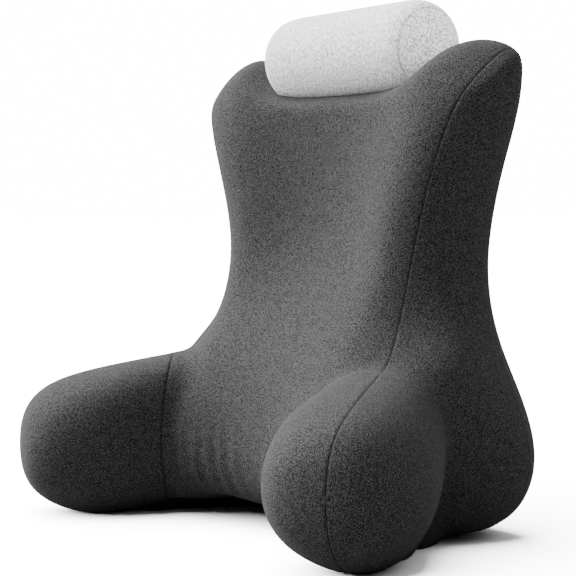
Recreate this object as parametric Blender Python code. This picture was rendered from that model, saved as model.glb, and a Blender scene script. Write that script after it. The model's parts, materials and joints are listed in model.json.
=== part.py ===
"""Reading pillow with arms: one stuffed body and the loose head roll that lies in the dip of its top.

Units are metres, +Z is up, the sitter faces -Y, and the floor is z = 0. The body is one smooth filled form.
It is drawn as a control cage, half of it in the tables below, then mirrored and smoothed by a subdivision
surface. The head roll is a turned form that lies in a seat of its own shape.
"""

import math

import bmesh
import bpy
from mathutils import Vector

# ---------------------------------------------------------------- driving sizes

PIECE_GAP = 0.0004          # clearance between the head roll and its seat
SMOOTH_LEVELS = 2
FLOOR_BLOCK = 1.2           # size of the block that cuts the underside flat

# The torso is a stack of half rings. Each table gives the plan places of its columns at each height.
HEIGHTS = (0.000, 0.105, 0.232, 0.300, 0.390, 0.490, 0.590)

# The front panel, from the middle out to the seam that parts it from the side panel.
#   mid_y   inner_x inner_y  outer_x outer_y  seam_x seam_y
FRONT = (
    (-0.066, 0.072, -0.071, 0.130, -0.092, 0.200, -0.085),
    (-0.072, 0.072, -0.079, 0.130, -0.111, 0.225, -0.070),
    (-0.036, 0.082, -0.040, 0.146, -0.058, 0.218, -0.004),
    (0.018, 0.100, 0.012, 0.163, 0.005, 0.202, 0.028),
    (0.068, 0.092, 0.056, 0.162, 0.029, 0.205, 0.053),
    (0.078, 0.092, 0.068, 0.172, 0.033, 0.241, 0.053),
    (0.076, 0.102, 0.067, 0.200, 0.035, 0.288, 0.055),
)

# The side panel, between the front seam and the rear seam. Its low rows swell into the heel.
#   front_x front_y  mid_x  mid_y  rear_x rear_y
SIDE = (
    (0.250, 0.038, 0.264, 0.085, 0.268, 0.132),
    (0.290, 0.030, 0.310, 0.075, 0.322, 0.125),
    (0.304, 0.040, 0.306, 0.080, 0.294, 0.114),
    (0.242, 0.073, 0.253, 0.100, 0.253, 0.126),
    (0.227, 0.078, 0.237, 0.104, 0.239, 0.132),
    (0.254, 0.082, 0.260, 0.106, 0.262, 0.132),
    (0.300, 0.084, 0.306, 0.108, 0.308, 0.134),
)

# The rear panel, from the seam in to the middle.
#   seam_x  seam_y  outer_x outer_y  mid_y
REAR = (
    (0.260, 0.178, 0.214, 0.224, 0.232),
    (0.323, 0.186, 0.276, 0.258, 0.256),
    (0.283, 0.147, 0.239, 0.217, 0.243),
    (0.252, 0.152, 0.216, 0.198, 0.226),
    (0.237, 0.158, 0.205, 0.194, 0.216),
    (0.258, 0.160, 0.224, 0.202, 0.219),
    (0.304, 0.161, 0.264, 0.202, 0.222),
)

# How high each column of the lowest ring stands. The underside arches up between the arms and at each side, and
# its rear hangs below the floor, where it is cut flat.
FRONT_LIFT = (0.020, 0.029, 0.040, 0.014)
SIDE_LIFT = (0.026, 0.014, 0.004)
REAR_LIFT = (0.004, -0.018, -0.034, -0.034)
FLOOR_MID_Y = 0.085         # place of the row of points that closes the underside, and the heights of its points
FLOOR_LIFT = (0.020, 0.026, 0.034, 0.010)
ARM_SHOULDER_LIFT = 0.017   # how far the torso's ring rises where the arm's crest leaves it

# The crown closes the top. Its shoulders stand over the dip for the roll, and each side panel ends in a point
# high on the shoulder's rear.
#   x      y      z
CROWN_FRONT = (
    (0.000, 0.073, 0.608),
    (0.160, 0.060, 0.596),
    (0.218, 0.056, 0.670),
    (0.309, 0.092, 0.620),
)
CROWN_SIDE = (
    (0.307, 0.106, 0.632),
    (0.311, 0.133, 0.638),
    (0.307, 0.153, 0.646),
)
CROWN_REAR = (
    (0.298, 0.174, 0.656),
    (0.247, 0.208, 0.668),
    (0.158, 0.206, 0.598),
    (0.000, 0.205, 0.606),
)
CROWN_RIDGE = (
    (0.000, 0.135, 0.634),
    (0.158, 0.135, 0.628),
    (0.221, 0.135, 0.708),
    (0.299, 0.152, 0.671),
)

# Each arm is a run of rings along a level axis that splays out from straight ahead. The first ring is turned
# back where it meets the torso.
ARM_SPLAY = math.radians(30)
ARM_ROOT = Vector((0.222, -0.007, 0.0))
ARM_ROOT_BOW = 0.6          # share of turn_back that a ring's top and bottom are turned back by as well
#   along  turn_back  inner  outer  seam_shift  low_z  high_z  inner_top_swell
ARM = (
    (0.044, 0.023, 0.108, 0.096, 0.000, 0.010, 0.249, 1.16),
    (0.138, 0.005, 0.129, 0.130, 0.021, -0.028, 0.229, 1.19),
    (0.217, 0.000, 0.108, 0.109, 0.021, -0.002, 0.205, 1.02),
    (0.254, 0.000, 0.063, 0.063, 0.017, 0.041, 0.162, 1.00),
)
ARM_TIP = (0.264, 0.015, 0.106)    # along, outward, height

# The head roll is a turned form whose axis lies across the pillow.
ROLL_RADIUS = 0.0665
ROLL_LENGTH = 0.335
ROLL_END = 0.045            # length of each rounded end
ROLL_ROUNDING = 0.8         # 1 is an ellipse, less is squarer
ROLL_SIDES = 40
ROLL_END_STEPS = 8
ROLL_CENTRE = Vector((0.0, 0.130, 0.6700))

BODY_COLOUR = (0.075, 0.075, 0.080, 1.0)
ROLL_COLOUR = (0.620, 0.620, 0.620, 1.0)
CLOTH_ROUGHNESS = 0.95


def clear_scene():
    for obj in list(bpy.data.objects):
        bpy.data.objects.remove(obj, do_unlink=True)


def cloth(name, colour):
    """A plain cloth material."""
    material = bpy.data.materials.new(name)
    material.use_nodes = True
    shader = material.node_tree.nodes["Principled BSDF"]
    shader.inputs["Base Color"].default_value = colour
    shader.inputs["Roughness"].default_value = CLOTH_ROUGHNESS
    shader.inputs["Metallic"].default_value = 0.0
    return material


def add_object(name, bm, material=None):
    """Make an object of a closed mesh whose faces point out."""
    bmesh.ops.recalc_face_normals(bm, faces=bm.faces)
    mesh = bpy.data.meshes.new(name)
    bm.to_mesh(mesh)
    bm.free()
    if material:
        mesh.materials.append(material)
    obj = bpy.data.objects.new(name, mesh)
    bpy.context.scene.collection.objects.link(obj)
    return obj


def torso_ring(front, side, rear, height):
    """The eleven points of one half ring, from the middle of the front round to the middle of the rear."""
    mid_y, inner_x, inner_y, outer_x, outer_y, seam_x, seam_y = front
    rear_seam_x, rear_seam_y, rear_outer_x, rear_outer_y, rear_mid_y = rear
    plan = [(0.0, mid_y), (inner_x, inner_y), (outer_x, outer_y), (seam_x, seam_y)]
    plan += [side[0:2], side[2:4], side[4:6]]
    plan += [(rear_seam_x, rear_seam_y), (rear_outer_x, rear_outer_y), (rear_outer_x / 2, rear_mid_y)]
    plan += [(0.0, rear_mid_y)]
    return [Vector((x, y, height)) for x, y in plan]


def cap_faces(bm, ring, middle):
    """Close a half ring of eleven points over a row of four points through its middle."""
    for i in range(3):
        bm.faces.new((ring[i], ring[i + 1], middle[i + 1], middle[i]))
        bm.faces.new((middle[i], middle[i + 1], ring[9 - i], ring[10 - i]))
    bm.faces.new((middle[3], ring[3], ring[4], ring[5]))
    bm.faces.new((middle[3], ring[5], ring[6], ring[7]))


def add_torso(bm):
    """The torso's half cage with a hole where the arm grows out. Returns its rings of vertices."""
    rings = [[bm.verts.new(point) for point in torso_ring(front, side, rear, height)]
             for front, side, rear, height in zip(FRONT, SIDE, REAR, HEIGHTS)]
    lifts = FRONT_LIFT + SIDE_LIFT + REAR_LIFT
    for vert, lift in zip(rings[0], lifts):
        vert.co.z = lift
    for vert in rings[2][3:5]:
        vert.co.z += ARM_SHOULDER_LIFT
    floor = [bm.verts.new((vert.co.x, FLOOR_MID_Y, lift)) for vert, lift in zip(rings[0], FLOOR_LIFT)]

    rings.append([bm.verts.new(point) for point in CROWN_FRONT + CROWN_SIDE + CROWN_REAR])
    ridge = [bm.verts.new(point) for point in CROWN_RIDGE]

    arm_rows, arm_columns = (0, 1), (2, 3)
    for row in range(len(rings) - 1):
        for column in range(len(rings[0]) - 1):
            if row in arm_rows and column in arm_columns:
                continue
            low, high = rings[row], rings[row + 1]
            bm.faces.new((low[column], low[column + 1], high[column + 1], high[column]))
    cap_faces(bm, rings[0], floor)
    cap_faces(bm, rings[-1], ridge)
    return rings


def add_arm(bm, rings):
    """The arm's rings of eight points, from the torso's hole to the tip."""
    forward = Vector((math.sin(ARM_SPLAY), -math.cos(ARM_SPLAY), 0.0))
    outward = Vector((math.cos(ARM_SPLAY), math.sin(ARM_SPLAY), 0.0))
    low, mid, high = rings[0], rings[1], rings[2]
    last = [low[2], low[3], low[4], mid[4], high[4], high[3], high[2], mid[2]]
    turns = ((-1, -1), (0, -1), (1, -1), (1, 0), (1, 1), (0, 1), (-1, 1), (-1, 0))
    for along, turn_back, inner, outer, seam_shift, low_z, high_z, inner_top_swell in ARM:
        ring = []
        for across, up in turns:
            reach = 1 / math.hypot(across, up)
            if (across, up) == (-1, 1):
                reach *= inner_top_swell
            aside = reach * {-1: -inner, 0: seam_shift, 1: outer}[across]
            back = turn_back * (min(1 + across, 1) + ARM_ROOT_BOW * abs(up))
            point = ARM_ROOT + forward * (along - back) + outward * aside
            point.z = (low_z + high_z) / 2 + up * reach * (high_z - low_z) / 2
            ring.append(bm.verts.new(point))
        for i in range(8):
            j = (i + 1) % 8
            bm.faces.new((last[i], last[j], ring[j], ring[i]))
        last = ring
    tip_along, tip_aside, tip_height = ARM_TIP
    tip = bm.verts.new(ARM_ROOT + forward * tip_along + outward * tip_aside + Vector((0, 0, tip_height)))
    for i in range(0, 8, 2):
        bm.faces.new((tip, last[i - 1], last[i], last[i + 1]))
    bm.verts.remove(mid[3])         # the one point inside the torso's hole


def cut(obj, cutter):
    """Cut one solid out of another, and keep the cutter out of the model."""
    cutter.hide_render = True
    cutter.display_type = "WIRE"
    boolean = obj.modifiers.new("Cut " + cutter.name, "BOOLEAN")
    boolean.object = cutter
    boolean.operation = "DIFFERENCE"
    boolean.solver = "EXACT"


def build_body():
    bm = bmesh.new()
    add_arm(bm, add_torso(bm))
    body = add_object("body", bm, cloth("charcoal knit", BODY_COLOUR))
    body.data.shade_smooth()
    mirror = body.modifiers.new("Mirror", "MIRROR")
    mirror.merge_threshold = 0.0001
    subdivision = body.modifiers.new("Subdivision", "SUBSURF")
    subdivision.levels = SMOOTH_LEVELS
    subdivision.render_levels = SMOOTH_LEVELS
    return body


def build_floor_cutter():
    """A block whose top face is the floor."""
    bm = bmesh.new()
    bmesh.ops.create_cube(bm, size=FLOOR_BLOCK)
    bmesh.ops.translate(bm, vec=(0, 0, -FLOOR_BLOCK / 2), verts=bm.verts)
    return add_object("floor_cutter", bm)


def roll_profile(clearance):
    """Distance along the axis and radius of each profile point, from one end to the other."""
    half = ROLL_LENGTH / 2 + clearance
    radius = ROLL_RADIUS + clearance
    right = []
    for i in range(ROLL_END_STEPS + 1):
        angle = math.pi / 2 * i / ROLL_END_STEPS
        along = half - ROLL_END + ROLL_END * math.cos(angle) ** ROLL_ROUNDING
        right.append((along, radius * math.sin(angle) ** ROLL_ROUNDING))
    return right + [(-along, radius) for along, radius in reversed(right)]


def build_roll(name, clearance=0.0, material=None):
    bm = bmesh.new()
    verts = [bm.verts.new((along, 0.0, radius)) for along, radius in roll_profile(clearance)]
    edges = [bm.edges.new(pair) for pair in zip(verts, verts[1:])]
    bmesh.ops.spin(bm, geom=verts + edges, cent=(0, 0, 0), axis=(1, 0, 0), angle=2 * math.pi,
                   steps=ROLL_SIDES, use_duplicate=False)
    bmesh.ops.remove_doubles(bm, verts=bm.verts, dist=1e-5)
    roll = add_object(name, bm, material)
    roll.location = ROLL_CENTRE
    return roll


def main():
    clear_scene()
    body = build_body()
    cut(body, build_floor_cutter())
    cut(body, build_roll("seat_cutter", PIECE_GAP))
    roll = build_roll("head_roll", material=cloth("light grey knit", ROLL_COLOUR))
    roll.data.shade_smooth()


main()
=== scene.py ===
# %% [markdown]
# # Reading pillow with arms
# A reading pillow is a big stuffed back rest with two arms, sewn from charcoal heather knit, and a
# loose head roll in light grey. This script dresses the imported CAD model: the CAD solids stay as the
# frame, and two padded pieces take their place. Everything is in metres, +Z is up, and the sitter faces
# -Y.

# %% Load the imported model
import json
import math

import bmesh
import bpy
import numpy as np
from mathutils import Matrix, Vector, noise
from mathutils.bvhtree import BVHTree
from mathutils.kdtree import KDTree

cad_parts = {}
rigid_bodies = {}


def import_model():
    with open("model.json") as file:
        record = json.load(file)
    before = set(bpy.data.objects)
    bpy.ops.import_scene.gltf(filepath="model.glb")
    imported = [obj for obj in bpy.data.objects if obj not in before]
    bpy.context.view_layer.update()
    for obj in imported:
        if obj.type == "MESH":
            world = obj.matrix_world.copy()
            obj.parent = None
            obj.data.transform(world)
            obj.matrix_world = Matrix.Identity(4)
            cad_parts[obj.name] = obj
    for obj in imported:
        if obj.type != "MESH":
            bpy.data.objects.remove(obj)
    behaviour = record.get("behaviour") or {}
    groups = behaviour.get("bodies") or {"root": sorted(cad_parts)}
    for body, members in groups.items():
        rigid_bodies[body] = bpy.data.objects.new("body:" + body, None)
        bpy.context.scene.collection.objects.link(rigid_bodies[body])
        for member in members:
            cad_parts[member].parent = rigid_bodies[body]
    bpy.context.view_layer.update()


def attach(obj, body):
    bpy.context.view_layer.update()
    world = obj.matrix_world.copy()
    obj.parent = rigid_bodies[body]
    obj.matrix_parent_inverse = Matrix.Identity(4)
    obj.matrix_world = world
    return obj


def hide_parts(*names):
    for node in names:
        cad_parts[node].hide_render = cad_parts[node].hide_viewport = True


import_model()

# %% [markdown]
# ## The view
# The photograph is taken with a long lens from the sitter's left front, a little below the top of the
# pillow, so upright lines stay nearly upright. The camera stands at that angle and distance from the
# pillow's middle. The horizon sits above the middle of the picture, so the camera looks very slightly
# down.

# %% Camera
VIEW_AZIMUTH = math.radians(52)
VIEW_DISTANCE = 2.73
VIEW_HEIGHT = 0.456
PICTURE = 576                      # pixels along each side
HORIZON_ROW = 204                  # pixels from the top
FOCAL_PIXELS = 1950
SENSOR = 36.0                      # millimetres
VIEW_REACH = 100                   # metres that the camera sees, past the edge of the floor

camera_data = bpy.data.cameras.new("camera")
camera_data.sensor_width = SENSOR
camera_data.lens = FOCAL_PIXELS / PICTURE * SENSOR
camera_data.clip_end = VIEW_REACH
camera = bpy.data.objects.new("camera", camera_data)
bpy.context.scene.collection.objects.link(camera)
away = Vector((math.sin(VIEW_AZIMUTH), -math.cos(VIEW_AZIMUTH), 0))
camera.location = away * VIEW_DISTANCE + Vector((0, 0, VIEW_HEIGHT))
look_down = math.atan((PICTURE / 2 - HORIZON_ROW) / FOCAL_PIXELS)
look = -away * math.cos(look_down) - Vector((0, 0, math.sin(look_down)))
camera.rotation_euler = look.to_track_quat("-Z", "Y").to_euler()
bpy.context.scene.camera = camera
print("camera:", [round(v, 3) for v in camera.location], "lens", round(camera_data.lens, 1))

# %% [markdown]
# ## The body's pattern
# The real body is cut as a few cloth panels: one wide panel that runs down the front, under the base
# and up the back, two side panels that include the outer half of each arm, and a cap on the inner half
# of each arm. The panels are sewn into one bag and stuffed. A low control cage gives this form the
# cleanest surface, because its columns can run exactly along the sewn seams. The tables give half of
# the cage, and the other half is its mirror image.

# %% Sizes of the torso cage
HEIGHTS = (0.000, 0.105, 0.232, 0.300, 0.390, 0.490, 0.590)     # of the torso's rings

# The front panel, from the middle out to the front seam.
#   mid_y   inner_x inner_y  outer_x outer_y  seam_x seam_y
FRONT = (
    (-0.066, 0.072, -0.071, 0.130, -0.092, 0.200, -0.085),
    (-0.072, 0.072, -0.079, 0.130, -0.111, 0.225, -0.070),
    (-0.036, 0.082, -0.040, 0.146, -0.058, 0.218, -0.004),
    (0.018, 0.100, 0.012, 0.163, 0.005, 0.202, 0.028),
    (0.068, 0.092, 0.056, 0.162, 0.029, 0.205, 0.053),
    (0.078, 0.092, 0.068, 0.172, 0.033, 0.241, 0.053),
    (0.076, 0.102, 0.067, 0.200, 0.035, 0.288, 0.055),
)
# The side panel, between the front seam and the rear seam.
#   front_x front_y  mid_x  mid_y  rear_x rear_y
SIDE = (
    (0.250, 0.038, 0.264, 0.085, 0.268, 0.132),
    (0.290, 0.030, 0.310, 0.075, 0.322, 0.125),
    (0.304, 0.040, 0.306, 0.080, 0.294, 0.114),
    (0.242, 0.073, 0.253, 0.100, 0.253, 0.126),
    (0.227, 0.078, 0.237, 0.104, 0.239, 0.132),
    (0.254, 0.082, 0.260, 0.106, 0.262, 0.132),
    (0.300, 0.084, 0.306, 0.108, 0.308, 0.134),
)
# The rear panel, from the rear seam in to the middle.
#   seam_x  seam_y  outer_x outer_y  mid_y
REAR = (
    (0.260, 0.178, 0.214, 0.224, 0.232),
    (0.323, 0.186, 0.276, 0.258, 0.256),
    (0.283, 0.147, 0.239, 0.217, 0.243),
    (0.252, 0.152, 0.216, 0.198, 0.226),
    (0.237, 0.158, 0.205, 0.194, 0.216),
    (0.258, 0.160, 0.224, 0.202, 0.219),
    (0.304, 0.161, 0.264, 0.202, 0.222),
)
# How high each column of the lowest ring stands. The rear hangs below the floor, which flattens it later.
FRONT_LIFT = (0.020, 0.029, 0.040, 0.014)
SIDE_LIFT = (0.026, 0.014, 0.004)
REAR_LIFT = (0.004, -0.018, -0.034, -0.034)
FLOOR_MID_Y = 0.085
FLOOR_LIFT = (0.020, 0.026, 0.034, 0.010)
ARM_SHOULDER_LIFT = 0.017          # how far the torso's ring rises where the arm's crest leaves it

#   x      y      z
CROWN_FRONT = (
    (0.000, 0.073, 0.608),
    (0.160, 0.060, 0.596),
    (0.218, 0.056, 0.670),
    (0.309, 0.092, 0.620),
)
CROWN_SIDE = (
    (0.307, 0.106, 0.632),
    (0.311, 0.133, 0.638),
    (0.307, 0.153, 0.646),
)
CROWN_REAR = (
    (0.298, 0.174, 0.656),
    (0.247, 0.208, 0.668),
    (0.158, 0.206, 0.598),
    (0.000, 0.205, 0.606),
)
CROWN_RIDGE = (
    (0.000, 0.135, 0.634),
    (0.158, 0.135, 0.628),
    (0.221, 0.135, 0.708),
    (0.299, 0.152, 0.671),
)
print("torso:", len(HEIGHTS) + 1, "rings, up to", max(z for _, _, z in CROWN_RIDGE), "m")

# %% [markdown]
# The faces are joined up one by one, ring by ring, so that an edge lies wherever two panels are sewn
# together. The top ring and the lowest ring are closed over a row of points through their middle.
# Where the arm grows out, the torso is left open.


# %% Build the torso's half of the cage
FRONT_SEAM = 3                     # the places of the two seams in a torso ring
REAR_SEAM = 7
ARM_TOP_ROW = 2                    # the arm grows out between the lowest ring and this one
ARM_COLUMNS = (2, 3)               # from the place before the front seam to the place after it


def torso_ring(front, side, rear, height):
    """The eleven points of one half ring, from the middle of the front round to the middle of the rear."""
    mid_y, inner_x, inner_y, outer_x, outer_y, seam_x, seam_y = front
    rear_seam_x, rear_seam_y, rear_outer_x, rear_outer_y, rear_mid_y = rear
    plan = [(0.0, mid_y), (inner_x, inner_y), (outer_x, outer_y), (seam_x, seam_y)]
    plan += [side[0:2], side[2:4], side[4:6]]
    plan += [(rear_seam_x, rear_seam_y), (rear_outer_x, rear_outer_y), (rear_outer_x / 2, rear_mid_y)]
    plan += [(0.0, rear_mid_y)]
    return [Vector((x, y, height)) for x, y in plan]


def cap_faces(bm, ring, middle):
    """Close a half ring of eleven points over a row of four points through its middle."""
    rear = ring[::-1]
    for i in range(len(middle) - 1):
        bm.faces.new((ring[i], ring[i + 1], middle[i + 1], middle[i]))
        bm.faces.new((middle[i], middle[i + 1], rear[i + 1], rear[i]))
    side = ring[FRONT_SEAM:REAR_SEAM + 1]
    bm.faces.new((middle[-1], *side[:3]))
    bm.faces.new((middle[-1], *side[2:]))


def add_torso(bm):
    """The torso's half cage, with a hole where the arm grows out."""
    rings = [[bm.verts.new(point) for point in torso_ring(front, side, rear, height)]
             for front, side, rear, height in zip(FRONT, SIDE, REAR, HEIGHTS)]
    lifts = FRONT_LIFT + SIDE_LIFT + REAR_LIFT
    for vert, lift in zip(rings[0], lifts):
        vert.co.z = lift
    for vert in rings[ARM_TOP_ROW][FRONT_SEAM:FRONT_SEAM + 2]:
        vert.co.z += ARM_SHOULDER_LIFT
    floor = [bm.verts.new((vert.co.x, FLOOR_MID_Y, lift)) for vert, lift in zip(rings[0], FLOOR_LIFT)]
    rings.append([bm.verts.new(point) for point in CROWN_FRONT + CROWN_SIDE + CROWN_REAR])
    ridge = [bm.verts.new(point) for point in CROWN_RIDGE]
    for row in range(len(rings) - 1):
        for column in range(len(rings[0]) - 1):
            if row < ARM_TOP_ROW and column in ARM_COLUMNS:
                continue
            low, high = rings[row], rings[row + 1]
            bm.faces.new((low[column], low[column + 1], high[column + 1], high[column]))
    cap_faces(bm, rings[0], floor)
    cap_faces(bm, rings[-1], ridge)
    return rings, ridge, floor


cage = bmesh.new()
rings, ridge, floor_row = add_torso(cage)
print("half torso:", len(cage.faces), "faces")

# %% [markdown]
# ## The arms' pattern
# Each arm is a round stuffed bag that grows out of the torso with no step, so it is made in the same
# cage: rings of eight points carry on from the hole in the torso to the arm's tip. The arm isn't quite
# round. The seam along its crest lies a little outward, and the top of its inner side swells, so the
# table has a measure for each.

# %% Sizes of the arm cage
ARM_SPLAY = math.radians(30)
ARM_ROOT = Vector((0.222, -0.007, 0.0))
ARM_ROOT_BOW = 0.6                 # the share of turn_back that a ring's top and bottom get as well
#   along  turn_back  inner  outer  seam_shift  low_z  high_z  inner_top_swell
ARM = (
    (0.044, 0.023, 0.108, 0.096, 0.000, 0.010, 0.249, 1.16),
    (0.138, 0.005, 0.129, 0.130, 0.021, -0.028, 0.229, 1.19),
    (0.217, 0.000, 0.108, 0.109, 0.021, -0.002, 0.205, 1.02),
    (0.254, 0.000, 0.063, 0.063, 0.017, 0.041, 0.162, 1.00),
)
ARM_TIP = (0.264, 0.015, 0.106)    # along, outward, height
print("arm:", len(ARM), "rings, reaching", ARM_TIP[0], "m forward")

# %% [markdown]
# The eight points of a ring are the corners and the middles of a square, pulled out into a round. Bands
# of faces join the rings, and four faces close the tip.


# %% Build the arm's half of the cage
def add_arm(bm, rings):
    """The arm's rings of eight points, from the torso's hole to the tip."""
    forward = Vector((math.sin(ARM_SPLAY), -math.cos(ARM_SPLAY), 0.0))
    outward = Vector((math.cos(ARM_SPLAY), math.sin(ARM_SPLAY), 0.0))
    low, mid, high = rings[:ARM_TOP_ROW + 1]
    hole = [low[2], low[3], low[4], mid[4], high[4], high[3], high[2], mid[2]]
    arm = [hole]
    turns = ((-1, -1), (0, -1), (1, -1), (1, 0), (1, 1), (0, 1), (-1, 1), (-1, 0))
    for along, turn_back, inner, outer, seam_shift, low_z, high_z, inner_top_swell in ARM:
        ring = []
        for across, up in turns:
            reach = 1 / math.hypot(across, up)
            if (across, up) == (-1, 1):
                reach *= inner_top_swell
            aside = reach * {-1: -inner, 0: seam_shift, 1: outer}[across]
            back = turn_back * (min(1 + across, 1) + ARM_ROOT_BOW * abs(up))
            point = ARM_ROOT + forward * (along - back) + outward * aside
            point.z = (low_z + high_z) / 2 + up * reach * (high_z - low_z) / 2
            ring.append(bm.verts.new(point))
        last = arm[-1]
        for i in range(len(ring)):
            j = (i + 1) % len(ring)
            bm.faces.new((last[i], last[j], ring[j], ring[i]))
        arm.append(ring)
    tip_along, tip_aside, tip_height = ARM_TIP
    tip = bm.verts.new(ARM_ROOT + forward * tip_along + outward * tip_aside + Vector((0, 0, tip_height)))
    for i in range(0, len(arm[-1]), 2):
        bm.faces.new((tip, arm[-1][i - 1], arm[-1][i], arm[-1][i + 1]))
    bm.verts.remove(mid[FRONT_SEAM])   # the one point inside the torso's hole
    return arm, tip


arm, arm_tip = add_arm(cage, rings)
print("half torso and arm:", len(cage.faces), "faces")

# %% [markdown]
# ## Where the panels meet
# On the real bag the seams are lines of stitches. In the cage they are lines of edges, and marking them
# as seams keeps them known through every later step. The front seam runs from the shoulder down along
# the arm's crest, round its tip and back below it. The rear seam runs over the shoulder, down the rear
# and under the base. The inner half of each arm is sewn on round its root.


# %% Mark the seams
ARM_CREST = 5                      # the places in an arm ring of its top and of its bottom
ARM_UNDERSIDE = 1
ARM_INNER_HALF = (5, 6, 7, 0, 1)


def mark_seam(bm, line):
    """Mark the edges along a line of the cage's vertices as sewn."""
    for start, end in zip(line, line[1:]):
        bm.edges.get((start, end)).seam = True


front_seam = [ring[FRONT_SEAM] for ring in reversed(rings[ARM_TOP_ROW:])]
front_seam += [ring[ARM_CREST] for ring in arm[1:]] + [arm_tip]
front_seam += [ring[ARM_UNDERSIDE] for ring in reversed(arm)]
rear_seam = [rings[-1][FRONT_SEAM], ridge[-1]] + [ring[REAR_SEAM] for ring in reversed(rings)]
rear_seam += [floor_row[-1], rings[0][FRONT_SEAM]]
arm_seam = [arm[1][i] for i in ARM_INNER_HALF]
for seam_line in (front_seam, rear_seam, arm_seam):
    mark_seam(cage, seam_line)
print("half cage:", sum(edge.seam for edge in cage.edges), "sewn edges")

# %% [markdown]
# ## One bag
# A mirror gives the other half of the bag, and subdivision rounds the cage off. An operator works on
# all that is selected, and loading the frame leaves its nodes selected, so select_only deselects first.


# %% Mirror and round the bag
MIRROR_MERGE = 0.0001              # points of the two halves that are nearer than this are one point
BAG_ROUNDING = 3                   # steps of subdivision


def select_only(obj):
    bpy.ops.object.select_all(action="DESELECT")
    obj.select_set(True)
    bpy.context.view_layer.objects.active = obj


def new_object(name, bm):
    """Turn a bmesh into a linked object whose faces point out."""
    bmesh.ops.recalc_face_normals(bm, faces=bm.faces)
    mesh = bpy.data.meshes.new(name)
    bm.to_mesh(mesh)
    bm.free()
    obj = bpy.data.objects.new(name, mesh)
    bpy.context.scene.collection.objects.link(obj)
    return obj


def apply_modifiers(obj):
    select_only(obj)
    for modifier in list(obj.modifiers):
        bpy.ops.object.modifier_apply(modifier=modifier.name)


def smooth_by_subdivision(obj, levels):
    subdivision = obj.modifiers.new("Subdivision", "SUBSURF")
    subdivision.levels = levels
    subdivision.render_levels = levels
    apply_modifiers(obj)


body = new_object("pillow_body", cage)
mirror = body.modifiers.new("Mirror", "MIRROR")
mirror.merge_threshold = MIRROR_MERGE
apply_modifiers(body)
smooth_by_subdivision(body, BAG_ROUNDING)
print("bag:", len(body.data.polygons), "faces,", sum(e.use_seam for e in body.data.edges), "sewn edges")

# %% [markdown]
# ## Stuffing
# Stuffing pushes the cloth out between the seams, which hold it in. Blender's Cloth with pressure and
# no gravity does the same to a closed shell. The shell first shrinks a little, the seam points are held
# where they are, and no point may move further than a set cap, so the pillow keeps its fitted shape and
# only gains its soft crown. A firmly filled knit shows no creases, so the moves are evened out between
# neighbouring points.


# %% Even out the moves
EVENING_ROUNDS = 30


def points_of(mesh):
    flat = np.zeros(len(mesh.vertices) * 3)
    mesh.vertices.foreach_get("co", flat)
    return flat.reshape(-1, 3)


def normals_of(mesh):
    flat = np.zeros(len(mesh.vertices) * 3, dtype=np.float32)
    mesh.vertex_normals.foreach_get("vector", flat)
    return flat.reshape(-1, 3).astype(float)


def set_points(mesh, points):
    mesh.vertices.foreach_set("co", points.reshape(-1))
    mesh.update()


def sewn_points(mesh):
    return sorted({v for edge in mesh.edges if edge.use_seam for v in edge.vertices})


def evened(mesh, move):
    """Average each point's move with its neighbours', so the puff stays and small creases go."""
    ends = np.array([edge.vertices for edge in mesh.edges])
    count = np.bincount(ends.reshape(-1), minlength=len(move))[:, None]
    held = sewn_points(mesh)
    for _ in range(EVENING_ROUNDS):
        total = np.zeros_like(move)
        np.add.at(total, ends[:, 0], move[ends[:, 1]])
        np.add.at(total, ends[:, 1], move[ends[:, 0]])
        move = (move + total / count) / 2
        move[held] = 0
    return move


print("sewn points that hold the bag in:", len(sewn_points(body.data)))

# %% [markdown]
# The shell is simulated for a few frames. It is stiff against bending, as the knit lies on foam. Only
# the moves of its points are kept, held to the cap and evened out, and the modifier is taken off again.


# %% Stuff a shell
PRESSURE = 4.0
STRETCH_STIFFNESS = 20
SHEAR_STIFFNESS = 10
BEND_STIFFNESS = 15
CLOTH_QUALITY = 6
CLOTH_FRAMES = 20
NO_MOVE = 1e-9                     # keeps a point that didn't move from being divided by nothing


def stuff(obj, shrink, cap):
    """Blow a shell up between its held seams. Its points move by no more than the cap."""
    mesh = obj.data
    start = points_of(mesh) - normals_of(mesh) * shrink
    set_points(mesh, start)
    held = obj.vertex_groups.new(name="held")
    held.add(sewn_points(mesh), 1.0, "REPLACE")
    cloth = obj.modifiers.new("Cloth", "CLOTH")
    cloth.settings.quality = CLOTH_QUALITY
    cloth.settings.tension_stiffness = STRETCH_STIFFNESS
    cloth.settings.compression_stiffness = STRETCH_STIFFNESS
    cloth.settings.shear_stiffness = SHEAR_STIFFNESS
    cloth.settings.bending_stiffness = BEND_STIFFNESS
    cloth.settings.use_pressure = True
    cloth.settings.uniform_pressure_force = PRESSURE
    cloth.settings.vertex_group_mass = held.name
    cloth.settings.effector_weights.gravity = 0
    cloth.point_cache.frame_start = 1
    cloth.point_cache.frame_end = CLOTH_FRAMES
    scene = bpy.context.scene
    for frame_number in range(1, CLOTH_FRAMES + 1):
        scene.frame_set(frame_number)
    blown = obj.evaluated_get(bpy.context.evaluated_depsgraph_get())
    move = points_of(blown.to_mesh()) - start
    blown.to_mesh_clear()
    obj.modifiers.remove(cloth)
    obj.vertex_groups.remove(held)
    scene.frame_set(1)
    length = np.linalg.norm(move, axis=1, keepdims=True)
    limit = cap * np.tanh(length / cap) / np.maximum(length, NO_MOVE)
    set_points(mesh, start + evened(mesh, move * limit))
    print(obj.name, "moved on average", round(float(length.mean()) * 1000, 1), "mm, at most",
          round(float(length.max()) * 1000, 1), "mm before the cap")


stuff(body, shrink=0.002, cap=0.003)

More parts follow.
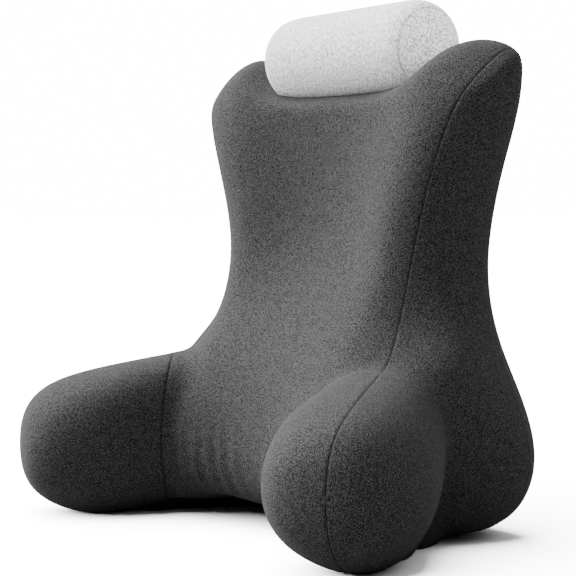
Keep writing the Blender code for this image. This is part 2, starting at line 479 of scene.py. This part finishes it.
# %% [markdown]
# ## Sewn seams
# A plain seam is where two panels turn inwards and meet. From outside it is a fine dark groove, and the
# cloth of one panel rolls over it in a slight ridge. To know which side rolls, the panels are told
# apart first: a panel is all the cloth that can be reached without crossing a seam.


# %% Tell the panels apart
def panel_numbers(bm):
    """Give all the faces of one panel the same number."""
    panels = {}
    for first in bm.faces:
        if first in panels:
            continue
        number = len(set(panels.values()))
        stack = [first]
        panels[first] = number
        while stack:
            face = stack.pop()
            for edge in face.edges:
                if edge.seam:
                    continue
                for other in edge.link_faces:
                    if other not in panels:
                        panels[other] = number
                        stack.append(other)
    return panels


bag = bmesh.new()
bag.from_mesh(body.data)
print("panels of the bag:", len(set(panel_numbers(bag).values())))
bag.free()

# %% [markdown]
# The sewn edges are bevelled into a narrow strip. The middle line of the strip sinks in, and the
# strip's edge on the panel that rolls over rises. The points in the groove are also noted in an
# attribute, so that painted shade can darken the cloth there.


# %% Sew the seams
POINTS_ON_EDGE = 3                 # how many points stand for each sewn edge when distances are measured
MIDDLE_REACH = 0.4                 # in half widths of the strip: nearer points are its middle line
RIM_REACH = 1.9                    # in half widths of the strip: nearer points are its edges
SIDE_PANEL_X = 0.2                 # a side panel's middle is further out than this


def sew(obj, half_width, depth, ridge_height, raised):
    """Groove the marked seams. raised(centre) says whether the panel with that centre has a raised rim."""
    bm = bmesh.new()
    bm.from_mesh(obj.data)
    bm.faces.ensure_lookup_table()
    panels = panel_numbers(bm)
    sums = {}
    for face, number in panels.items():
        sums.setdefault(number, []).append(face.calc_center_median())
    lifts = {number: raised(sum(centres, Vector()) / len(centres)) for number, centres in sums.items()}
    tree = BVHTree.FromBMesh(bm)
    face_panel = [panels[face] for face in bm.faces]
    seam_edges = [edge for edge in bm.edges if edge.seam]
    line = KDTree(len(seam_edges) * POINTS_ON_EDGE)
    for i, edge in enumerate(seam_edges):
        start, end = (vert.co for vert in edge.verts)
        for j in range(POINTS_ON_EDGE):
            line.insert(start.lerp(end, j / POINTS_ON_EDGE), i * POINTS_ON_EDGE + j)
    line.balance()
    bmesh.ops.bevel(bm, geom=seam_edges, offset=half_width, offset_type="OFFSET", segments=2, profile=0.5,
                    affect="EDGES", clamp_overlap=False)
    bm.normal_update()
    # The groove's points are noted in the seam attribute, which the cloth reads to paint shade there.
    tone = bm.verts.layers.float.new("seam")
    moves = {}
    for vert in bm.verts:
        _, _, distance = line.find(vert.co)
        if distance < half_width * MIDDLE_REACH:
            moves[vert] = -depth
            vert[tone] = 1.0
        elif distance < half_width * RIM_REACH:
            _, _, index, _ = tree.find_nearest(vert.co)
            moves[vert] = ridge_height if lifts[face_panel[index]] else 0.0
    for vert, move in moves.items():
        vert.co += vert.normal * move
    bm.to_mesh(obj.data)
    bm.free()
    print(obj.name, "has", len(lifts), "panels and", len(seam_edges), "sewn edges")


sew(body, half_width=0.0012, depth=0.0016, ridge_height=0.0006,
    raised=lambda centre: abs(centre.x) > SIDE_PANEL_X)
smooth_by_subdivision(body, levels=1)
print("sewn body:", len(body.data.polygons), "faces")

# %% [markdown]
# ## The head roll
# The head roll is a tube of knit with a rounded cap sewn into each end. Its profile is spun round the
# long axis, which lies across the pillow. It lies loose in the dip of the top, so it is tilted a little,
# and the seams of its ends lean out towards the top.

# %% Sizes of the head roll
ROLL_RADIUS = 0.0665
ROLL_LENGTH = 0.335
ROLL_END = 0.045                   # how far each rounded end reaches along the axis
ROLL_ROUNDING = 0.8                # below 1 the ends are squarer than a ball
ROLL_SIDES = 48
ROLL_CENTRE = Vector((0.0, 0.130, 0.6700))
ROLL_TUBE_STEPS = 14
ROLL_END_ANGLES = (90, 79, 69, 57, 45, 33, 21, 10)      # degrees from the pole
ROLL_SEAM_ANGLE = 57
ROLL_SEAM_LEAN = math.radians(10)  # how much further out the end seams run at the top than halfway down
ROLL_TILT = math.radians(1.6)      # the loose roll lies a little higher at one end
MERGE = 1e-5                       # points nearer than this are one point
print("roll:", ROLL_LENGTH, "m long and", 2 * ROLL_RADIUS, "m thick")

# %% [markdown]
# The profile is a line of points from one pole to the other. Spinning it round the axis gives the skin,
# and the rings where the caps are sewn on are marked as seams. The points of the rounded ends then slide
# along their profile, so that the seams lean, and the roll is tilted and moved to its seat.


# %% Build the head roll
def end_point(turn):
    """The place along the axis and the radius of a point on a rounded end, at a turn from its pole."""
    along = ROLL_LENGTH / 2 - ROLL_END + ROLL_END * math.cos(turn) ** ROLL_ROUNDING
    return along, ROLL_RADIUS * math.sin(turn) ** ROLL_ROUNDING


def roll_profile():
    """(place along the axis, radius, is it the seam) of each profile point, from one pole to the other."""
    half = ROLL_LENGTH / 2
    end = [(half, 0.0, False)]
    for angle in reversed(ROLL_END_ANGLES):
        end.append((*end_point(math.radians(angle)), angle == ROLL_SEAM_ANGLE))
    straight = half - ROLL_END
    shares = [1 - 2 * step / ROLL_TUBE_STEPS for step in range(1, ROLL_TUBE_STEPS)]
    tube = [(straight * share, ROLL_RADIUS, False) for share in shares]
    return end + tube + [(-along, radius, sewn) for along, radius, sewn in reversed(end)]


def build_roll():
    bm = bmesh.new()
    profile = roll_profile()
    verts = [bm.verts.new((along, 0.0, radius)) for along, radius, _ in profile]
    edges = [bm.edges.new(pair) for pair in zip(verts, verts[1:])]
    bmesh.ops.spin(bm, geom=verts + edges, cent=(0, 0, 0), axis=(1, 0, 0), angle=2 * math.pi,
                   steps=ROLL_SIDES, use_duplicate=False)
    bmesh.ops.remove_doubles(bm, verts=bm.verts, dist=MERGE)
    seam_places = [along for along, _, sewn in profile if sewn]
    for edge in bm.edges:
        left, right = (vert.co.x for vert in edge.verts)
        edge.seam = any(abs(left - place) < MERGE and abs(right - place) < MERGE for place in seam_places)
    for vert in bm.verts:
        radius = math.hypot(vert.co.y, vert.co.z)
        if abs(vert.co.x) > ROLL_LENGTH / 2 - ROLL_END and radius > MERGE:
            turn = math.asin(min(radius / ROLL_RADIUS, 1) ** (1 / ROLL_ROUNDING))
            turn -= ROLL_SEAM_LEAN * math.sin(2 * turn) * vert.co.z / radius
            along, moved_radius = end_point(turn)
            vert.co = (math.copysign(along, vert.co.x), vert.co.y * moved_radius / radius,
                       vert.co.z * moved_radius / radius)
    bmesh.ops.rotate(bm, cent=(0, 0, 0), matrix=Matrix.Rotation(-ROLL_TILT, 3, "Y"), verts=bm.verts)
    bmesh.ops.translate(bm, vec=ROLL_CENTRE, verts=bm.verts)
    return new_object("head_roll_cushion", bm)


roll = build_roll()
print("roll:", len(roll.data.polygons), "faces,", sum(e.use_seam for e in roll.data.edges), "sewn edges")

# %% [markdown]
# The roll is small and firm, so it puffs up less than the body. Its seams are a little wider and deeper,
# and the tube rolls over the caps.

# %% Stuff and sew the head roll
stuff(roll, shrink=0.001, cap=0.002)
sew(roll, half_width=0.0014, depth=0.0018, ridge_height=0.0004,
    raised=lambda centre: abs(centre.x) < ROLL_LENGTH / 4)
smooth_by_subdivision(roll, levels=2)
print("sewn roll:", len(roll.data.polygons), "faces")

# %% [markdown]
# ## Folds and lumps
# Beside each arm the front panel turns a tight inner corner, and the cloth there has a little too much
# length. It lies in a row of soft upright folds that run alongside the arm's seam. They are shaped here
# as low ridges. The stuffing also never fills a bag quite evenly, so the surface gets very faint slow
# lumps.

# %% Fold the cloth beside the arms
FOLD_DIRECTION = Vector((0.616, 0.788))      # the level direction in which the folds follow each other
FOLD_FIRST = -0.1524               # the place of the first fold in that direction
FOLD_SPACING = 0.0194
FOLD_COUNT = 6
FOLD_HEIGHT = 0.0018
FOLD_STRAIGHT_Z = 0.100            # the folds are straight above this height
FOLD_CURL = 6.5                    # and curve away below it
FOLD_SHARPNESS = 1.4
# The start and end of the soft steps that bound the folds, first in folds and then in metres.
FOLD_FIRST_STEP = (-0.6, 0.2)
FOLD_LAST_STEP = (FOLD_COUNT - 2.5, FOLD_COUNT - 0.3)
FOLD_FOOT = (0.025, 0.055)
FOLD_HEAD = (0.100, 0.165)
FOLD_REAR = (0.00, 0.03)
FOLD_ARM_SEAM = (-0.20, -0.17)
LUMP_SIZE = 0.085
LUMP_HEIGHT = 0.0007


def ease(value, start, end):
    """0 before start and 1 after end, with a soft change between them."""
    t = np.clip((value - start) / (end - start), 0, 1)
    return t * t * (3 - 2 * t)


def fold_heights(points):
    """How far the folds lift each point of the body."""
    x = -np.abs(points[:, 0])
    place = x * FOLD_DIRECTION.x + points[:, 1] * FOLD_DIRECTION.y
    drop = np.maximum(FOLD_STRAIGHT_Z - points[:, 2], 0)
    place = place - FOLD_CURL * drop ** 2
    count = (place - FOLD_FIRST) / FOLD_SPACING
    wave = (0.5 + 0.5 * np.cos(2 * math.pi * count)) ** FOLD_SHARPNESS
    across = ease(count, *FOLD_FIRST_STEP) * (1 - ease(count, *FOLD_LAST_STEP))
    upright = ease(points[:, 2], *FOLD_FOOT) * (1 - ease(points[:, 2], *FOLD_HEAD))
    front = 1 - ease(points[:, 1], *FOLD_REAR)
    inner = ease(x, *FOLD_ARM_SEAM)
    return FOLD_HEIGHT * wave * across * upright * front * inner


def lump_heights(points):
    return np.array([noise.noise(Vector(point) / LUMP_SIZE) for point in points]) * LUMP_HEIGHT


points = points_of(body.data)
normals = normals_of(body.data)
folds = fold_heights(points)
lift = folds + lump_heights(points)
points = points + normals * lift[:, None]
print("the folds lift the cloth by", round(float(folds.max()) * 1000, 2), "mm at most")

# %% [markdown]
# ## The sagging base
# No floor shows below the pillow in the photograph, so behind the arch the base panel must hang down to
# it. Here the points that look down there are lowered, and the edges of the sag are soft.

# %% Let the base sag
SAG_DROP = 0.03
# The start and end of the soft steps that bound the sag. The first says how far down the cloth looks, from
# 0 for level to 1 for straight down, and the others are in metres.
SAG_FACING = (0.3, 0.8)
SAG_FRONT = (0.05, 0.11)           # behind the arch, in the middle
SAG_FRONT_AT_ARM = 0.14            # how much further forward the sag starts beside the arms
SAG_ARM_SIDE = (0.19, 0.25)
SAG_REAR = (0.16, 0.20)
SAG_SIDE = (0.27, 0.32)
SAG_NARROWING = 0.9                # how fast the sag narrows towards the rear


def sag_depths(points, normals):
    """How far the base panel hangs down at each point."""
    under = ease(-normals[:, 2], *SAG_FACING)
    off_middle = np.abs(points[:, 0])
    behind_arch = points[:, 1] + SAG_FRONT_AT_ARM * ease(off_middle, *SAG_ARM_SIDE)
    lengthways = ease(behind_arch, *SAG_FRONT) * (1 - ease(points[:, 1], *SAG_REAR))
    crossways = 1 - ease(off_middle + SAG_NARROWING * np.maximum(points[:, 1], 0), *SAG_SIDE)
    return SAG_DROP * under * lengthways * crossways


sag = sag_depths(points, normals)
points[:, 2] -= sag
print("the base sags by", round(float(sag.max()) * 1000, 1), "mm at most")

# %% [markdown]
# ## The floor and the roll's seat
# The pillow stands on the floor, which flattens its underside, and the head roll presses a seat of its
# own shape into the dip. Points below the floor move up to it, and points inside the roll move out to
# just off its skin.

# %% Rest the body on the floor and seat the roll
SETTLE = 0.004                     # how high above the floor the cloth starts to bend towards it
ROLL_GAP = 0.0005                  # how far the cloth of the seat stays off the roll


def rest_on_floor(points):
    """A soft clamp: heights well above the floor stay, and nothing is left below it."""
    height = points[:, 2]
    blend_height = np.maximum(SETTLE - np.abs(height), 0) / SETTLE
    points[:, 2] = np.maximum(height, 0) + blend_height ** 2 * SETTLE / 4
    return points


def press_out(points, other, gap):
    """Move points that are inside another closed mesh, or nearer than the gap, out of it."""
    corners = [v.co for v in other.data.vertices]
    tree = BVHTree.FromPolygons(corners, [p.vertices for p in other.data.polygons])
    moved = 0
    low = [min(corner[i] for corner in corners) - gap for i in range(3)]
    high = [max(corner[i] for corner in corners) + gap for i in range(3)]
    for i in range(len(points)):
        point = points[i]
        if np.any(point < low) or np.any(point > high):
            continue
        near, normal, _, _ = tree.find_nearest(Vector(point))
        off = (Vector(point) - near).dot(normal)
        if off < gap:
            points[i] = near + normal * gap
            moved += 1
    return points, moved


points = rest_on_floor(points)
points, pressed = press_out(points, roll, ROLL_GAP)
set_points(body.data, points)
print("points pressed out by the roll:", pressed)

# %% [markdown]
# ## Knit cloth
# Both pieces are knitted from heather yarn: light and dark fibres are spun together, so each stitch has
# its own grey. One node group makes that effect for both cloths, and what differs between them comes in
# through its sockets. One of these is the balance of the two yarns: few light specks in the charcoal,
# and few dark specks in the light grey.


# %% The sockets of the knit's node group
KNIT_INPUTS = (
    ("Vector", "NodeSocketVector"),
    ("Stitches per metre", "NodeSocketFloat"),
    ("Dark", "NodeSocketColor"),
    ("Light", "NodeSocketColor"),
    ("Contrast", "NodeSocketFloat"),
    ("Dark share", "NodeSocketFloat"),
)
KNIT_OUTPUTS = (
    ("Color", "NodeSocketColor"),
    ("Height", "NodeSocketFloat"),
)

knit_group = bpy.data.node_groups.new("Heather knit", "ShaderNodeTree")
for name, kind in KNIT_INPUTS:
    knit_group.interface.new_socket(name=name, in_out="INPUT", socket_type=kind)
for name, kind in KNIT_OUTPUTS:
    knit_group.interface.new_socket(name=name, in_out="OUTPUT", socket_type=kind)
print(knit_group.name, "has", len(KNIT_INPUTS), "inputs and", len(KNIT_OUTPUTS), "outputs")

# %% [markdown]
# Three patterns make the knit. Noise about as fine as a stitch stands for the fibres and gives most of
# the grey grain. The cells of a Voronoi texture are the stitches: each has a little tone of its own,
# and the distance to its centre gives it a rounded top. Slower noise adds a faint mottle.


# %% The knit's three patterns
MOTTLE_SCALE = 55.0
MOTTLE_DETAIL = 3.0


def add_node(tree, kind, **settings):
    node = tree.nodes.new(kind)
    for name, value in settings.items():
        setattr(node, name, value)
    return node


knit_link = knit_group.links.new
knit_in = add_node(knit_group, "NodeGroupInput")
knit_out = add_node(knit_group, "NodeGroupOutput")

stitch_cells = add_node(knit_group, "ShaderNodeTexVoronoi", voronoi_dimensions="3D", feature="F1")
knit_link(knit_in.outputs["Vector"], stitch_cells.inputs["Vector"])
knit_link(knit_in.outputs["Stitches per metre"], stitch_cells.inputs["Scale"])
stitch_tone = add_node(knit_group, "ShaderNodeSeparateColor")
knit_link(stitch_cells.outputs["Color"], stitch_tone.inputs["Color"])

fibres = add_node(knit_group, "ShaderNodeTexNoise", noise_dimensions="3D")
fibres.inputs["Detail"].default_value = 0.0
knit_link(knit_in.outputs["Vector"], fibres.inputs["Vector"])
knit_link(knit_in.outputs["Stitches per metre"], fibres.inputs["Scale"])

mottle = add_node(knit_group, "ShaderNodeTexNoise", noise_dimensions="3D")
mottle.inputs["Scale"].default_value = MOTTLE_SCALE
mottle.inputs["Detail"].default_value = MOTTLE_DETAIL
knit_link(knit_in.outputs["Vector"], mottle.inputs["Vector"])
print("patterns:", stitch_cells.bl_label, fibres.bl_label, mottle.bl_label)

# %% [markdown]
# The patterns are added up into one grain. The contrast spreads the grain round the middle tone, a
# power moves it towards the dark or the light yarn, and the result mixes the two yarns' colours.


# %% The knit's grain
FIBRE_SHARE = 3.2                  # how much each pattern counts
STITCH_SHARE = 0.2
MOTTLE_SHARE = 0.1
MIDDLE_TONE = 0.5


def weighted(pattern, share):
    """A pattern that runs from 0 to 1, scaled and moved so that its middle is 0."""
    node = add_node(knit_group, "ShaderNodeMath", operation="MULTIPLY_ADD")
    knit_link(pattern, node.inputs[0])
    node.inputs[1].default_value = share
    node.inputs[2].default_value = -share / 2
    return node.outputs[0]


def plus(first, second):
    node = add_node(knit_group, "ShaderNodeMath", operation="ADD")
    knit_link(first, node.inputs[0])
    knit_link(second, node.inputs[1])
    return node.outputs[0]


def colour_socket(sockets, name):
    """A Mix node has sockets of one name for each kind of value. This finds the one for colours."""
    return next(s for s in sockets if s.name == name and s.type == "RGBA")


grain = plus(weighted(fibres.outputs["Fac"], FIBRE_SHARE), weighted(stitch_tone.outputs["Red"], STITCH_SHARE))
grain = plus(grain, weighted(mottle.outputs["Fac"], MOTTLE_SHARE))
spread = add_node(knit_group, "ShaderNodeMath", operation="MULTIPLY_ADD", use_clamp=True)
knit_link(grain, spread.inputs[0])
knit_link(knit_in.outputs["Contrast"], spread.inputs[1])
spread.inputs[2].default_value = MIDDLE_TONE
balance = add_node(knit_group, "ShaderNodeMath", operation="POWER")
knit_link(spread.outputs[0], balance.inputs[0])
knit_link(knit_in.outputs["Dark share"], balance.inputs[1])
yarn = add_node(knit_group, "ShaderNodeMix", data_type="RGBA")
knit_link(balance.outputs[0], yarn.inputs["Factor"])
knit_link(knit_in.outputs["Dark"], colour_socket(yarn.inputs, "A"))
knit_link(knit_in.outputs["Light"], colour_socket(yarn.inputs, "B"))
knit_link(colour_socket(yarn.outputs, "Result"), knit_out.inputs["Color"])
print("the grain is linked to", knit_out.inputs["Color"].name)

# %% [markdown]
# The knit also has a relief: each stitch is highest in its middle, and the fibres roughen it.

# %% The knit's relief
FIBRE_RELIEF = 0.8

round_top = add_node(knit_group, "ShaderNodeMath", operation="SUBTRACT")
round_top.inputs[0].default_value = 1.0
knit_link(stitch_cells.outputs["Distance"], round_top.inputs[1])
relief_height = plus(round_top.outputs[0], weighted(fibres.outputs["Fac"], FIBRE_RELIEF))
knit_link(relief_height, knit_out.inputs["Height"])
print("node group:", knit_group.name, "with", len(knit_group.nodes), "nodes")

# %% [markdown]
# ## The two cloths
# Knit is matt: it has hardly any gloss, and its loose fibres catch a little light at the edges, which
# the sheen gives. Both cloths are the same knit in other yarn. On the roll the rows of stitches run
# round it, so its pattern is stretched that way. The pattern sits on Object coordinates, so it has one
# scale all over and needs no unwrapping. The attribute that sewing left behind marks each groove, and
# painted shade darkens the cloth at the bottom of it.


# %% Cloth materials
KNIT_ROUGHNESS = 0.95
KNIT_GLOSS = 0.15
SHEEN_SPREAD = 0.45
RELIEF_DEPTH = 0.0008


def knit_material(name, dark, light, contrast, dark_share, stitches, stretch, bump, sheen, painted_groove_shade):
    """Knit cloth from a dark and a light yarn, with so many stitches to the metre."""
    material = bpy.data.materials.new(name)
    material.use_nodes = True
    tree = material.node_tree
    shader = tree.nodes["Principled BSDF"]
    place = add_node(tree, "ShaderNodeTexCoord")
    stretched = add_node(tree, "ShaderNodeMapping")
    stretched.inputs["Scale"].default_value = (1, 1 / stretch, 1 / stretch)
    knit = add_node(tree, "ShaderNodeGroup", node_tree=knit_group)
    tree.links.new(place.outputs["Object"], stretched.inputs["Vector"])
    tree.links.new(stretched.outputs["Vector"], knit.inputs["Vector"])
    knit.inputs["Stitches per metre"].default_value = stitches
    knit.inputs["Dark"].default_value = (*dark, 1.0)
    knit.inputs["Light"].default_value = (*light, 1.0)
    knit.inputs["Contrast"].default_value = contrast
    knit.inputs["Dark share"].default_value = dark_share
    # Painted shade: the seam attribute darkens the colour in the groove, where shade falls in the crease.
    seam = add_node(tree, "ShaderNodeAttribute", attribute_name="seam")
    groove_shade_paint = add_node(tree, "ShaderNodeMix", data_type="RGBA", blend_type="MULTIPLY")
    tree.links.new(seam.outputs["Fac"], groove_shade_paint.inputs["Factor"])
    tree.links.new(knit.outputs["Color"], colour_socket(groove_shade_paint.inputs, "A"))
    colour_socket(groove_shade_paint.inputs, "B").default_value = (painted_groove_shade, painted_groove_shade, painted_groove_shade, 1.0)
    tree.links.new(colour_socket(groove_shade_paint.outputs, "Result"), shader.inputs["Base Color"])
    relief = add_node(tree, "ShaderNodeBump")
    relief.inputs["Strength"].default_value = bump
    relief.inputs["Distance"].default_value = RELIEF_DEPTH
    tree.links.new(knit.outputs["Height"], relief.inputs["Height"])
    tree.links.new(relief.outputs["Normal"], shader.inputs["Normal"])
    shader.inputs["Roughness"].default_value = KNIT_ROUGHNESS
    shader.inputs["Specular IOR Level"].default_value = KNIT_GLOSS
    shader.inputs["Sheen Weight"].default_value = sheen
    shader.inputs["Sheen Roughness"].default_value = SHEEN_SPREAD
    return material


# The last value of each cloth is how dark the painted shade at the bottom of its seam grooves is.
charcoal = knit_material(
    "charcoal heather knit", dark=(0.0015, 0.0014, 0.0014), light=(0.055, 0.0523, 0.053), contrast=1.05,
    dark_share=1.3, stitches=800, stretch=1.0, bump=0.2, sheen=0.02, painted_groove_shade=0.25)
light_grey = knit_material(
    "light grey heather knit", dark=(0.28, 0.28, 0.28), light=(0.70, 0.70, 0.70), contrast=1.35,
    dark_share=0.6, stitches=760, stretch=2.2, bump=0.35, sheen=0.2, painted_groove_shade=0.55)
for piece, material in ((body, charcoal), (roll, light_grey)):
    piece.data.materials.clear()
    piece.data.materials.append(material)
    piece.data.shade_smooth()
    print(piece.name, "wears", material.name)

# %% [markdown]
# ## Floor and light
# The photograph is a plain studio shot on white. A large pale floor runs out to a white backdrop. One
# wide soft lamp on the left models the cloth, a stronger one burns the floor out to white, and a weak
# one on the right opens the roll's end. Each lamp lights only its own pieces. The world adds light from
# above. A white floor would throw much light up under the arms. In the photograph that light is
# missing, so the floor is pale to the camera and darker to the light that bounces off it, and the
# world's two strengths do the same.

# %% Floor
FLOOR_SIZE = 80
FLOOR_ROUGHNESS = 0.9
FLOOR_GLOSS = 0.1
FLOOR_SEEN = 0.90
FLOOR_BOUNCE = 0.055

bpy.ops.object.select_all(action="DESELECT")
bpy.ops.mesh.primitive_plane_add(size=FLOOR_SIZE, location=(0, 0, 0))
floor = bpy.context.object
floor.name = "floor"
floor_material = bpy.data.materials.new("pale floor")
floor_material.use_nodes = True
floor_tree = floor_material.node_tree
floor_shader = floor_tree.nodes["Principled BSDF"]
floor_shader.inputs["Roughness"].default_value = FLOOR_ROUGHNESS
floor_shader.inputs["Specular IOR Level"].default_value = FLOOR_GLOSS
floor_ray = add_node(floor_tree, "ShaderNodeLightPath")
floor_tone = add_node(floor_tree, "ShaderNodeMapRange")
floor_tone.inputs["To Min"].default_value = FLOOR_BOUNCE
floor_tone.inputs["To Max"].default_value = FLOOR_SEEN
floor_tree.links.new(floor_ray.outputs["Is Camera Ray"], floor_tone.inputs["Value"])
floor_tree.links.new(floor_tone.outputs["Result"], floor_shader.inputs["Base Color"])
floor.data.materials.append(floor_material)
print("floor:", FLOOR_SIZE, "m square, seen at", FLOOR_SEEN, "and bouncing", FLOOR_BOUNCE)

# %% [markdown]
# ## The world
# The world is the light that comes from all round. In a studio the ceiling is bright and the far walls
# are not, so it brightens with height. Its height comes from the direction of the ray, and the camera
# sees plain white.

# %% World
WORLD_SEEN = 16.0
WORLD_LOW = 0.05
WORLD_HIGH = 2.1
WORLD_DIM_BELOW = 0.2              # the upward part of a ray's direction where the world starts to brighten
WORLD_BRIGHT_ABOVE = 0.9           # and where it is brightest

world = bpy.data.worlds.new("studio")
world.use_nodes = True
backdrop = world.node_tree.nodes["Background"]
backdrop.inputs["Color"].default_value = (1.0, 1.0, 1.0, 1.0)
world_place = add_node(world.node_tree, "ShaderNodeTexCoord")
world_height = add_node(world.node_tree, "ShaderNodeSeparateXYZ")
world_light = add_node(world.node_tree, "ShaderNodeMapRange")
world_light.inputs["From Min"].default_value = WORLD_DIM_BELOW
world_light.inputs["From Max"].default_value = WORLD_BRIGHT_ABOVE
world_light.inputs["To Min"].default_value = WORLD_LOW
world_light.inputs["To Max"].default_value = WORLD_HIGH
world_ray = add_node(world.node_tree, "ShaderNodeLightPath")
world_strength = add_node(world.node_tree, "ShaderNodeMapRange")
world_strength.inputs["To Max"].default_value = WORLD_SEEN
world.node_tree.links.new(world_place.outputs["Generated"], world_height.inputs["Vector"])
world.node_tree.links.new(world_height.outputs["Z"], world_light.inputs["Value"])
world.node_tree.links.new(world_light.outputs["Result"], world_strength.inputs["To Min"])
world.node_tree.links.new(world_ray.outputs["Is Camera Ray"], world_strength.inputs["Value"])
world.node_tree.links.new(world_strength.outputs["Result"], backdrop.inputs["Strength"])
bpy.context.scene.world = world
print("world:", WORLD_LOW, "low down,", WORLD_HIGH, "overhead")

# %% [markdown]
# ## The lamps
# A sun lamp has a direction and no distance, so the light on the pillow is even. A wide spread makes
# its shadows soft, as a large studio lamp's are. Light linking gives each lamp its own receivers: the
# floor can then be far brighter than the cloth without washing it out.


# %% Lamps
LAMP_DISTANCE = 3                  # where the lamp is drawn. Only its direction counts for the light


def add_sun(name, azimuth, elevation, strength, spread, lit):
    """A far lamp that lights some objects only. Its angles and its spread are in degrees."""
    turn, rise = math.radians(azimuth), math.radians(elevation)
    out = Vector((math.sin(turn) * math.cos(rise), -math.cos(turn) * math.cos(rise), math.sin(rise)))
    data = bpy.data.lights.new(name, "SUN")
    data.energy = strength
    data.angle = math.radians(spread)
    lamp = bpy.data.objects.new(name, data)
    lamp.location = out * LAMP_DISTANCE
    lamp.rotation_euler = (-out).to_track_quat("-Z", "Y").to_euler()
    bpy.context.scene.collection.objects.link(lamp)
    receivers = bpy.data.collections.new(name + " receivers")
    for obj in lit:
        receivers.objects.link(obj)
    lamp.light_linking.receiver_collection = receivers


add_sun("key", azimuth=-60, elevation=36, strength=15.5, spread=50, lit=(body, roll))
add_sun("floor lamp", azimuth=-45, elevation=56, strength=75.0, spread=95, lit=(floor,))
add_sun("roll fill", azimuth=90, elevation=-5, strength=11.0, spread=120, lit=(roll,))

# %% [markdown]
# ## Hand over
# Each piece rides on the root body and takes the place of the CAD solid it stands for, which is
# hidden. The table also lists the cloth each wears and how firmly it is stuffed, which nothing here uses.

PIECES = (
    (body, "body", "charcoal_knit", 0.9),
    (roll, "head_roll", "light_grey_knit", 0.9),
)
for piece, node, slot, fill in PIECES:
    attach(piece, "root")
    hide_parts(node)
    print(piece.name, "stands for", node)
